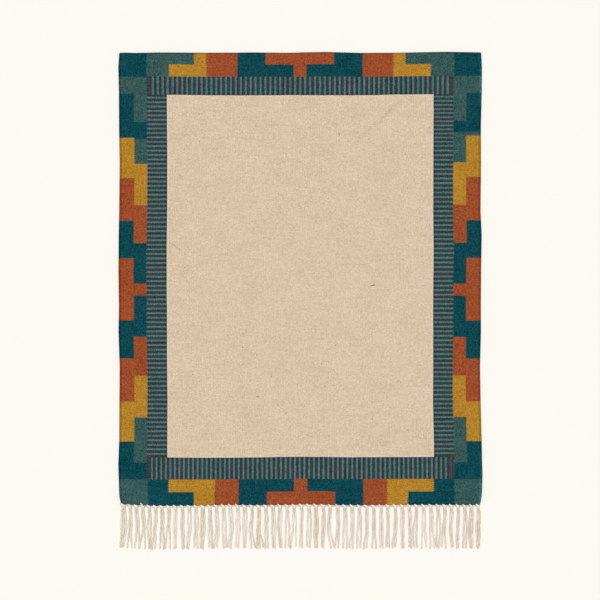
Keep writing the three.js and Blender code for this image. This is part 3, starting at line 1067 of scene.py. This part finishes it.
def stripe_counts(chart):
    """For places on the chart, the count of end stripes across and of side stripes along."""
    across, along = chart.T
    counts = {}
    for side, place in (("top", across), ("bottom", across), ("left", along), ("right", along)):
        numbers, stations = np.array(sorted(STRIPE_STATIONS[side], key=lambda pair: pair[1])).T
        counts[side] = np.interp(place, stations, numbers)
    ends = np.where(along > 0, counts["top"], counts["bottom"])
    sides = np.where(across > 0, counts["right"], counts["left"])
    return np.stack([ends, sides], axis=-1)


class Yarns:
    """Gathers tubes of yarn, with their looks and maps, into one mesh."""

    def __init__(self):
        self.points, self.faces, self.looks = [], [], []
        self.corner_maps, self.cell_places, self.tube_of_corner = [], [], []
        self.count = 0
        self.tubes = 0

    def tube(
        self, path, radius, reference, sides, painted_shade=0.0, warm_shade=0.0, tone=1.0, blush=0.5, closed=False
    ):
        """A round tube along a path. reference is a way that the path never runs along."""
        path = np.asarray(path, float)
        if closed:
            tangent = np.roll(path, -1, 0) - np.roll(path, 1, 0)
        else:
            tangent = np.gradient(path, axis=0)
        tangent /= np.linalg.norm(tangent, axis=1)[:, None]
        aside = np.cross(tangent, np.broadcast_to(reference, path.shape))
        aside /= np.linalg.norm(aside, axis=1)[:, None]
        upward = np.cross(aside, tangent)
        turn = np.arange(sides) / sides * math.tau
        radius = np.broadcast_to(radius, len(path))[:, None, None]
        ring = np.cos(turn)[:, None] * aside[:, None] + np.sin(turn)[:, None] * upward[:, None]
        points = path[:, None] + radius * ring
        rings = len(path)
        numbers = np.arange(rings * sides).reshape(rings, sides) + self.count
        across = np.concatenate([numbers, numbers[:, :1]], axis=1)
        if closed:
            across = np.concatenate([across, across[:1]])
        steps = np.linalg.norm(np.diff(path, axis=0), axis=1)
        length = np.concatenate([[0], np.cumsum(steps)])
        if closed:
            length = np.append(length, length[-1] + np.linalg.norm(path[0] - path[-1]))
        around_grid = np.broadcast_to(np.arange(sides + 1) / sides, across.shape)
        along_grid = np.broadcast_to(length[:, None], across.shape)
        grid = np.stack([around_grid, along_grid, around_grid, along_grid / length[-1]], axis=-1)
        corners = [cell_corners(grid)]
        self.faces += cell_corners(across).tolist()
        if not closed:
            self.faces += [numbers[0][::-1].tolist(), numbers[-1].tolist()]
            disc = np.stack([0.5 + 0.4 * np.cos(turn), 0.03 * np.sin(turn)], axis=-1)
            first = np.concatenate([grid[0, :-1, :2], disc + (0, -0.05)], axis=-1)
            last = np.concatenate([grid[-1, :-1, :2], disc + (0, 1.05)], axis=-1)
            corners += [first[::-1], last]
        corners = np.concatenate(corners)
        self.corner_maps.append(corners[:, :2])
        self.cell_places.append(corners[:, 2:])
        self.tube_of_corner.append(np.full(len(corners), self.tubes))
        # The look's channels: painted shade, warm painted shade where strands bunch, tone and blush
        look = np.ones((rings, sides, 4))
        for channel, value in enumerate((painted_shade, warm_shade, tone, blush)):
            look[..., channel] = np.broadcast_to(value, (rings, sides))
        self.points.append(points.reshape(-1, 3))
        self.looks.append(look.reshape(-1, 4))
        self.count += rings * sides
        self.tubes += 1
        return points

    def piece(self, name, material, rows=1):
        """The gathered tubes as one object, with one cell for each tube on the map for baking."""
        made = mesh_piece(name, np.concatenate(self.points), self.faces, material)
        look = made.data.attributes.new("yarn_look", "FLOAT_COLOR", "POINT")
        look.data.foreach_set("color", np.concatenate(self.looks).astype(np.float32).ravel())
        add_map(made, "yarn", np.concatenate(self.corner_maps) * (1, MM))
        tubes = np.concatenate(self.tube_of_corner)
        columns = math.ceil(self.tubes / rows)
        cells = np.stack([tubes % columns, tubes // columns], axis=-1)
        inside = BAKE_CELL_INSET + np.concatenate(self.cell_places) * (1 - 2 * BAKE_CELL_INSET)
        add_map(made, "OFBake", (cells + inside) / (columns, rows))
        return made


def shade_depth(heights, top):
    """How deep a point lies, for the painted shade: 0 on the crest of a yarn and 1 at the floor."""
    return np.clip(1 - heights / top, 0, 1) ** 1.3


def laid_strands(knots):
    """Each strand's knot and its three places across the rug, unevenly apart."""
    generator = np.random.default_rng(SEED + 2)
    strands = []
    for number, x in enumerate(knots):
        count = 3 if number in THREE_STRAND_KNOTS else 2
        middles = x + generator.normal(STRAND_MIDDLES, STRAND_MIDDLE_SPREADS)
        gaps = np.maximum(generator.normal(STRAND_GAPS, STRAND_GAP_SPREADS), LEAST_STRAND_GAP)
        if count == 3:
            gaps = gaps * THREE_STRAND_SHARE
        for turn in range(count):
            places = middles + (turn - (count - 1) / 2) * gaps
            strands.append((number, places.tolist()))
    return strands


def gaps_beside(places):
    """The gaps to the nearest strand on either side of each strand, at one level."""
    places = np.array(places)
    order = np.argsort(places)
    between = np.diff(places[order])
    gaps = np.full((len(places), 2), NO_NEIGHBOUR)
    gaps[order[1:], 0] = between
    gaps[order[:-1], 1] = between
    return gaps


def closeness(gaps):
    """0 for a strand that hangs alone and 1 for one that touches its neighbours on both sides."""
    return np.clip((OPEN_GAP - gaps) / (OPEN_GAP - CLOSE_GAP), 0, 1).mean(axis=1)


def row_place(row):
    """A row of the photograph as a place along the rug."""
    return (PHOTO_MIDDLE_ROW - row) * PIXEL


def strand_path(outline, index, root, places, generator):
    """A strand's middle line along the floor, with no height, from its knot to its tip."""
    start = outline.front(root) - FRINGE_GAP - STRIP_WIDTH / 2
    length = STRAND_LENGTH + STRAND_LENGTH_SPREAD * math.sin(index * STRAND_LENGTH_STEP)
    end = outline.front(root) - length
    rows = [row_place(row) for row in (TIP_ROW, HALF_WAY_ROW, BELOW_KNOT_ROW)]
    along = np.linspace(0, 1, STRAND_RINGS)
    y = start + (end - start) * along
    x = smoothed(np.interp(y, [*rows, start], [*places[::-1], root]), STRAND_SMOOTHING)
    phases = generator.uniform(0, math.tau, 2)
    slow, quick = STRAND_WAVES
    wiggle = np.sin(slow * along + phases[0]) + 0.5 * np.sin(quick * along + phases[1])
    return x + STRAND_WIGGLE * wiggle * np.sin(math.pi * along) ** 0.5, y, along


def strand(yarns, fibres, outline, index, root, places, crowd, room, generator):
    """Three soft yarns twisted round each other, which spread at the tip where there is room."""
    x, y, along = strand_path(outline, index, root, places, generator)
    twist = (STRAND_LENGTH / TWIST_LENGTH) * generator.uniform(*TWIST_SPREAD) * math.tau
    phase = generator.uniform(0, math.tau)
    strand_blush = generator.uniform(0, 1)
    spread = np.clip((along - TIP_SPREAD_START) / (1 - TIP_SPREAD_START), 0, 1)
    crowding = np.interp(along, CROWD_PLACES, crowd)
    narrow = BUNDLE_WIDTH * generator.uniform(*BUNDLE_WIDTH_SPREAD) * (1 - CROWD_NARROWING * crowding)
    width = narrow + (room - narrow) * spread
    half_width = width / 2 - YARN_RADIUS
    half_height = BUNDLE_HALF_HEIGHT * (1 - TIP_FLATTENING * spread)
    # Warm painted shade where the strand crowds its neighbours
    warm_shade = crowding[:, None] * generator.uniform(*WARM_SHADE_SPREAD)
    root_shade = ROOT_SHADE * np.clip(1 - along * STRAND_LENGTH / ROOT_SHADE_LENGTH, 0, 1)
    tip_shade = TIP_SHADE * np.clip(1 - (1 - along) * STRAND_LENGTH / TIP_SHADE_LENGTH, 0, 1)
    end_shade = root_shade + tip_shade
    lift = STRAND_LIFT * generator.uniform(0, 1) * np.sin(math.pi * along)
    top = 2 * (YARN_RADIUS + BUNDLE_HALF_HEIGHT)
    radius = YARN_RADIUS * (1 - (1 - YARN_TIP_SHARE) * spread**3)
    for number in range(YARNS_PER_STRAND):
        tone = generator.uniform(*YARN_TONE_SPREAD)
        blush = np.clip(strand_blush + generator.uniform(-BLUSH_SPREAD, BLUSH_SPREAD), 0, 1)
        turn = phase + twist * along + number * math.tau / YARNS_PER_STRAND
        height = radius + half_height * (1 + np.sin(turn))
        path = np.stack([x + half_width * np.cos(turn), y, height + lift], axis=-1)
        path[-1, 1] += generator.uniform(*TIP_STRAY)
        sides = np.arange(YARN_SIDES) / YARN_SIDES * math.tau
        heights = height[:, None] + radius[:, None] * np.sin(sides)[None]
        edge_share = LONE_EDGE_SHARE + (1 - LONE_EDGE_SHARE) * crowding
        edge_shade = EDGE_SHADE * edge_share * np.abs(np.cos(turn)) ** 3
        # Painted shade by depth, at the root and tip, and on the bundle's sides where strands crowd
        painted_shade = STRAND_SHADE * shade_depth(heights, top) + (end_shade + edge_shade)[:, None]
        yarns.tube(path, radius, UP, YARN_SIDES, painted_shade, warm_shade, tone, blush)
    for _ in range(FIBRES_PER_STRAND):
        fibre(fibres, x, y, half_width + YARN_RADIUS, strand_blush, generator)


def fibre(fibres, x, y, half_width, blush, generator):
    """A stray fibre, which bows out from the strand's side and comes back to it."""
    first = generator.integers(2, STRAND_RINGS - FIBRE_RINGS)
    part = slice(first, first + FIBRE_RINGS)
    side = generator.choice((-1, 1))
    bow = generator.uniform(*FIBRE_BOW) * np.sin(np.linspace(0, math.pi, FIBRE_RINGS))
    across = x[part] + side * (half_width[part] - FIBRE_TUCK + bow)
    height = np.full(FIBRE_RINGS, FIBRE_RADIUS + generator.uniform(0, FIBRE_LIFT))
    path = np.stack([across, y[part], height], axis=-1)
    fibres.tube(path, FIBRE_RADIUS, UP, 3, FIBRE_SHADE, 0.0, 1.0, blush)


def knot(yarns, outline, x, generator):
    """Turns of yarn round a core, slanting over the cloth's edge, fed by the warp ends."""
    front = outline.front(x)
    centre = np.array([x + KNOT_SHIFT, front - KNOT_SETBACK, KNOT_CENTRE_HEIGHT])
    stack = np.array([-KNOT_LEAN, 1, 0])
    slant = KNOT_SLANT + generator.uniform(-KNOT_SLANT_SPREAD, KNOT_SLANT_SPREAD)
    size = generator.uniform(*KNOT_SIZE_SPREAD)
    way = np.array([math.cos(slant), math.sin(slant), 0])
    normal = np.array([-way[1], way[0], 0])
    turn = np.linspace(0, math.tau, KNOT_TURN_RINGS, endpoint=False)
    for number, share, tone, shade in KNOT_TURNS:
        reach = KNOT_TURN_REACH * size * share
        path = centre + number * KNOT_TURN_SPACING * size * stack
        path = path + reach * np.cos(turn)[:, None] * way
        path = path + KNOT_TURN_RISE * share * np.sin(turn)[:, None] * UP
        heights = np.broadcast_to(path[:, 2:], (KNOT_TURN_RINGS, KNOT_TURN_SIDES))
        depth = shade_depth(heights, KNOT_CENTRE_HEIGHT + KNOT_TURN_RISE)
        # Painted shade from the turn's own share and from how deep it lies
        painted_shade = shade + (1 - shade) * KNOT_SHADE * depth
        tone = tone * generator.uniform(*KNOT_TONE_SPREAD)
        blush = generator.uniform(*KNOT_BLUSH_SPREAD)
        look = (painted_shade, 0.0, tone, blush)
        yarns.tube(path, KNOT_TURN_RADIUS, normal, KNOT_TURN_SIDES, *look, closed=True)
    core_along = np.linspace(-1, 1, KNOT_CORE_RINGS)
    core_radius = np.sqrt(np.clip(1 - core_along**2, 0.02, 1)) * KNOT_CORE_RADIUS
    core = centre + core_along[:, None] * KNOT_CORE_LENGTH * normal
    yarns.tube(core, core_radius, UP, KNOT_CORE_SIDES, KNOT_CORE_SHADE, BURIED_WARM_SHADE)
    edge = np.array([x, front, FEEDER_HEIGHT])
    for offset in FEEDER_OFFSETS:
        start = edge + np.multiply(FEEDER_START, (offset, 1, 1))
        middle = edge + np.multiply(FEEDER_MIDDLE, (offset, 1, 1))
        finish = centre + np.multiply(FEEDER_FINISH, (offset, 1, 1))
        share = np.linspace(0, 1, FEEDER_RINGS)[:, None]
        path = (1 - share) ** 2 * start + 2 * share * (1 - share) * middle + share**2 * finish
        yarns.tube(path, FEEDER_RADIUS, UP, 6, FEEDER_SHADE, BURIED_WARM_SHADE)


def link(yarns, outline, x, next_x):
    """The outer warp ends of two neighbouring knots, which lie along the cloth's edge."""
    share = np.linspace(0, 1, LINK_RINGS)
    across = x + (next_x - x) * share
    along = outline.front(across) - LINK_SETBACK - LINK_SAG * np.sin(math.pi * share)
    height = np.full(LINK_RINGS, 2 * LINK_RADIUS)
    path = np.stack([across, along, height], axis=-1)
    yarns.tube(path, LINK_RADIUS, UP, LINK_SIDES, LINK_SHADE, 0.0, LINK_TONE)


def fringe(outline, material):
    """The knots in one piece and the strands in a few, each within the limit on one piece."""
    generator = np.random.default_rng(SEED + 1)
    numbers, stations = zip(*KNOT_STATIONS)
    knots = np.interp(range(KNOT_COUNT), numbers, stations)
    knot_yarns = Yarns()
    for x in knots:
        knot(knot_yarns, outline, x, generator)
    for x, next_x in zip(knots, knots[1:]):
        link(knot_yarns, outline, x, next_x)
    strands = laid_strands(knots)
    levels = np.array([places for _, places in strands])
    crowds = np.stack([closeness(gaps_beside(level)) for level in levels.T], axis=-1)
    tip_gaps = gaps_beside(levels[:, -1])
    near = np.where(tip_gaps < BUNDLE_WIDEST * TIP_REACH, tip_gaps, BUNDLE_WIDTH).mean(axis=1)
    rooms = np.clip(near, BUNDLE_WIDTH, BUNDLE_WIDEST)
    parts = [Yarns() for _ in range(PIECES_OF_STRANDS)]
    fibres = Yarns()
    for index, (number, places) in enumerate(strands):
        aside = (places[0] - knots[number]) / 2
        root = knots[number] + np.clip(aside, -ROOT_REACH, ROOT_REACH)
        part = parts[number * PIECES_OF_STRANDS // KNOT_COUNT]
        strand(part, fibres, outline, index, root, places, crowds[index], rooms[index], generator)
    pieces = [knot_yarns.piece("fringe_knots", material, KNOT_BAKE_ROWS)]
    for count, part in enumerate(parts, 1):
        pieces.append(part.piece(f"fringe_strands_{count}", material, STRAND_BAKE_ROWS))
    pieces.append(fibres.piece("fringe_fibres", material, FIBRE_BAKE_ROWS))
    return pieces


def smooth_line(points, count):
    """A smooth line through a few points, by their places along it."""
    points = np.asarray(points, float)
    share = np.linspace(0, 1, len(points))
    fine = np.linspace(0, 1, count)
    line = np.stack([np.interp(fine, share, places) for places in points.T], axis=-1)
    return smoothed(line, 3)


def stray_bits(yarn_material, hair_material):
    """The hairs on the field, and the loose end of yarn beside a knot."""
    hairs = Yarns()
    for radius, places in HAIRS:
        line = smooth_line(places, HAIR_RINGS)
        height = np.full(len(line), CLOTH_THICKNESS + radius)
        hairs.tube(np.column_stack([line, height]), radius, UP, 6)
    loose = Yarns()
    line = smooth_line(LOOSE_END_PATH, LOOSE_END_RINGS)
    height = np.full(len(line), CLOTH_THICKNESS + LOOSE_END_RADIUS * 0.8)
    taper = LOOSE_END_RADIUS * np.linspace(LOOSE_END_TAPER, 1, len(line))
    path = np.column_stack([line, height])
    loose.tube(path, taper, UP, YARN_SIDES, tone=LOOSE_END_TONE, blush=0)
    return [hairs.piece("stray_hairs", hair_material), loose.piece("loose_end", yarn_material)]


def stage():
    """The pale floor, even light from above, and the camera straight over the rug."""
    scene = bpy.context.scene
    scene.view_settings.view_transform = "Standard"
    bpy.ops.mesh.primitive_plane_add(size=FLOOR_SIZE, location=(0, 0, -FLOOR_DROP * MM))
    floor = bpy.context.object
    floor.name = "floor"
    floor.data.materials.append(floor_paint())

    world = bpy.data.worlds.new("studio")
    world.use_nodes = True
    background = world.node_tree.nodes["Background"]
    background.inputs["Color"].default_value = WHITE
    background.inputs["Strength"].default_value = SKY_LIGHT
    scene.world = world

    tilt = math.cos(SUN_TILT[0]) * math.cos(SUN_TILT[1])
    sun = bpy.data.lights.new("sun", "SUN")
    sun.energy = SUN_LIGHT * math.pi / tilt
    sun.angle = SUN_SOFTNESS
    lamp = bpy.data.objects.new("sun", sun)
    lamp.rotation_euler = (SUN_TILT[1], -SUN_TILT[0], 0)
    scene.collection.objects.link(lamp)

    camera = bpy.data.cameras.new("camera")
    camera.lens = LENS
    camera.sensor_width = SENSOR
    distance = FRAME_WIDTH / 2 / (SENSOR / 2 / LENS) + CLOTH_THICKNESS
    holder = bpy.data.objects.new("camera", camera)
    holder.location = (FRAME_CENTRE[0] * MM, FRAME_CENTRE[1] * MM, distance * MM)
    scene.collection.objects.link(holder)
    scene.camera = holder


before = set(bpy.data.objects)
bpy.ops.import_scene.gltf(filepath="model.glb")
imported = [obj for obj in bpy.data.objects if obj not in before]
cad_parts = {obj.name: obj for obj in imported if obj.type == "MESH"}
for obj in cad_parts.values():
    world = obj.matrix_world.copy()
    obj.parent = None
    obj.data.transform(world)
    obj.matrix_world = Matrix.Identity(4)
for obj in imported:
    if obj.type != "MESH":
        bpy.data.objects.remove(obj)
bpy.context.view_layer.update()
stage()
outline = Outline(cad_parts["woven_ground"])
wool = woven_wool()
yarn = fringe_yarn()

cloth = woven_cloth(outline, wool)
fringe_pieces = fringe(outline, yarn)
strays = stray_bits(yarn, hair_wool())

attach(cloth, "root")
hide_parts("woven_ground")
for piece in fringe_pieces:
    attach(piece, "root")
    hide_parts("fringe")
for piece in strays:
    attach(piece, "root")
